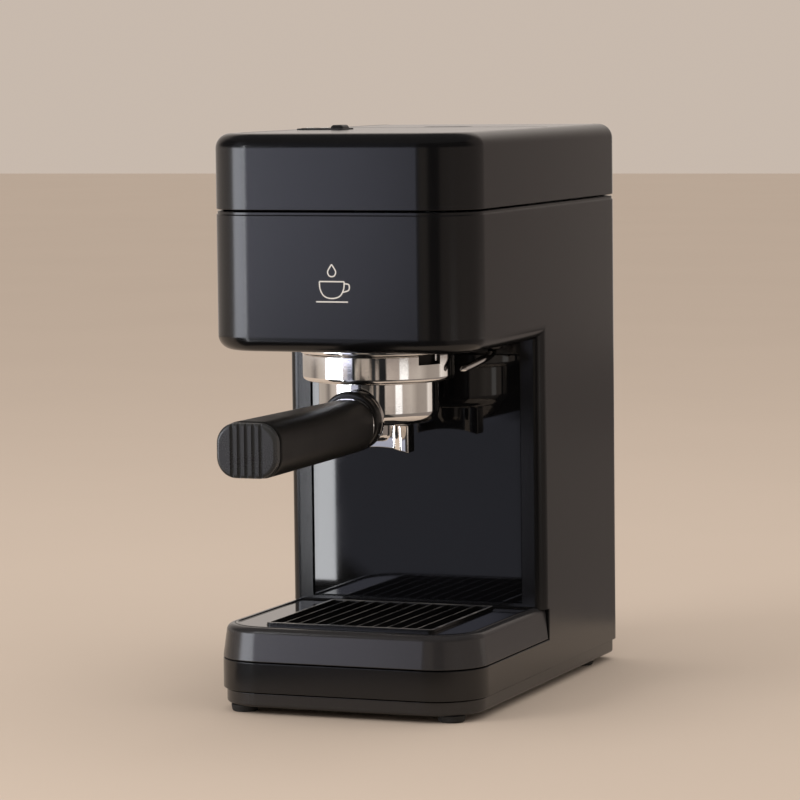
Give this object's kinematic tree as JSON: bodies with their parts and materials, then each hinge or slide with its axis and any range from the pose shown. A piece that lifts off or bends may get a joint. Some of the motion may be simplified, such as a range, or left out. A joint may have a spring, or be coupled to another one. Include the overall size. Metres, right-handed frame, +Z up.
{
  "type": "espresso machine",
  "caption": "Slim black pump espresso machine with a locking portafilter, double spout, steam wand, sliding drip tray with slotted grid, top controls and rear water tank.",
  "frame": {"origin": "centre of the whole machine's plan, handle included, on the worktop", "axes": "+Z up, +Y from the front to the back, +X to the right of someone facing the machine"},
  "size_m": [0.15, 0.3658, 0.3108],
  "materials": {
    "satin_black": "satin, finely speckled",
    "gloss_black": "polished",
    "matt_black": "fine matt moulding",
    "chrome": "mirror polished plating",
    "steel": "plain",
    "aluminium": "as cast",
    "brass": "machined",
    "rubber": "matt",
    "smoked_tank": "clear smoked plastic",
    "white_plastic": "natural",
    "board_green": "lacquered"
  },
  "bodies": {
    "machine": {"main_housing": "satin_black", "splash_panel": "gloss_black", "base_plate": "satin_black", "rear_cover": "matt_black", "mains_inlet": "matt_black", "top_cover": "satin_black", "cup_plate": "satin_black", "control_plate": "matt_black", "control_board": "board_green", "foot_front_left": "rubber", "foot_screw_front_left": "steel", "foot_front_right": "rubber", "foot_screw_front_right": "steel", "foot_rear_left": "rubber", "foot_screw_rear_left": "steel", "foot_rear_right": "rubber", "foot_screw_rear_right": "steel", "rear_screw_top_left": "steel", "rear_screw_top_right": "steel", "rear_screw_bottom_left": "steel", "rear_screw_bottom_right": "steel", "group_head": "aluminium", "group_flange": "chrome", "brew_gasket": "rubber", "shower_screen": "steel", "screen_screw": "steel", "boiler_base": "brass", "boiler_cap": "brass", "thermostat": "matt_black", "solenoid_valve": "matt_black", "wand_socket": "matt_black", "water_tank": "smoked_tank", "tank_valve": "white_plastic", "tank_seat": "matt_black", "pump_body": "aluminium", "pump_head": "white_plastic", "pump_mount_front": "rubber", "pump_mount_rear": "rubber", "suction_hose": "white_plastic", "brew_pipe": "steel", "steam_pipe": "steel"},
    "tray": {"tray_body": "satin_black", "tray_deck": "gloss_black"},
    "grid": {"drip_grid": "gloss_black"},
    "portafilter": {"portafilter_body": "chrome", "filter_basket": "steel", "basket_spring": "steel", "double_spout": "chrome", "handle_collar": "matt_black", "handle_grip": "matt_black", "handle_bolt": "steel", "handle_end_cap": "matt_black"},
    "wand": {"steam_wand": "chrome"},
    "lid": {"tank_lid": "satin_black"},
    "brew_key": {"brew_key": "matt_black"},
    "steam_key": {"steam_key": "matt_black"},
    "power_rocker": {"power_rocker": "matt_black"}
  },
  "joints": [
    {"name": "portafilter_turn", "type": "hinge", "parent": "machine", "child": "portafilter", "pos_m": [0, -0.00395, 0.18], "axis": [0, 0, 1], "range_deg": [-45, 0]},
    {"name": "tray_slide", "type": "slide", "parent": "machine", "child": "tray", "axis": [0, -1, 0], "range_m": [0, 0.13]},
    {"name": "grid_lift", "type": "slide", "parent": "tray", "child": "grid", "axis": [0, 0, 1], "range_m": [0, 0.04]},
    {"name": "wand_swing", "type": "hinge", "parent": "machine", "child": "wand", "pos_m": [0.05, 0.03755, 0.195], "axis": [0, 0, 1], "range_deg": [0, 90]},
    {"name": "lid_hinge", "type": "hinge", "parent": "machine", "child": "lid", "pos_m": [0, 0.17385, 0.308], "axis": [-1, 0, 0], "range_deg": [0, 95]},
    {"name": "brew_key_press", "type": "slide", "parent": "machine", "child": "brew_key", "axis": [0, 0, -1], "range_m": [0, 0.0012], "stiffness_N_per_m": 350, "springref_m": -0.0004},
    {"name": "steam_key_press", "type": "slide", "parent": "machine", "child": "steam_key", "axis": [0, 0, -1], "range_m": [0, 0.0012], "stiffness_N_per_m": 350, "springref_m": -0.0004},
    {"name": "power_rocker_tilt", "type": "hinge", "parent": "machine", "child": "power_rocker", "pos_m": [-0.039, 0.04055, 0.3065], "axis": [1, 0, 0], "range_deg": [-8, 0]}
  ]
}
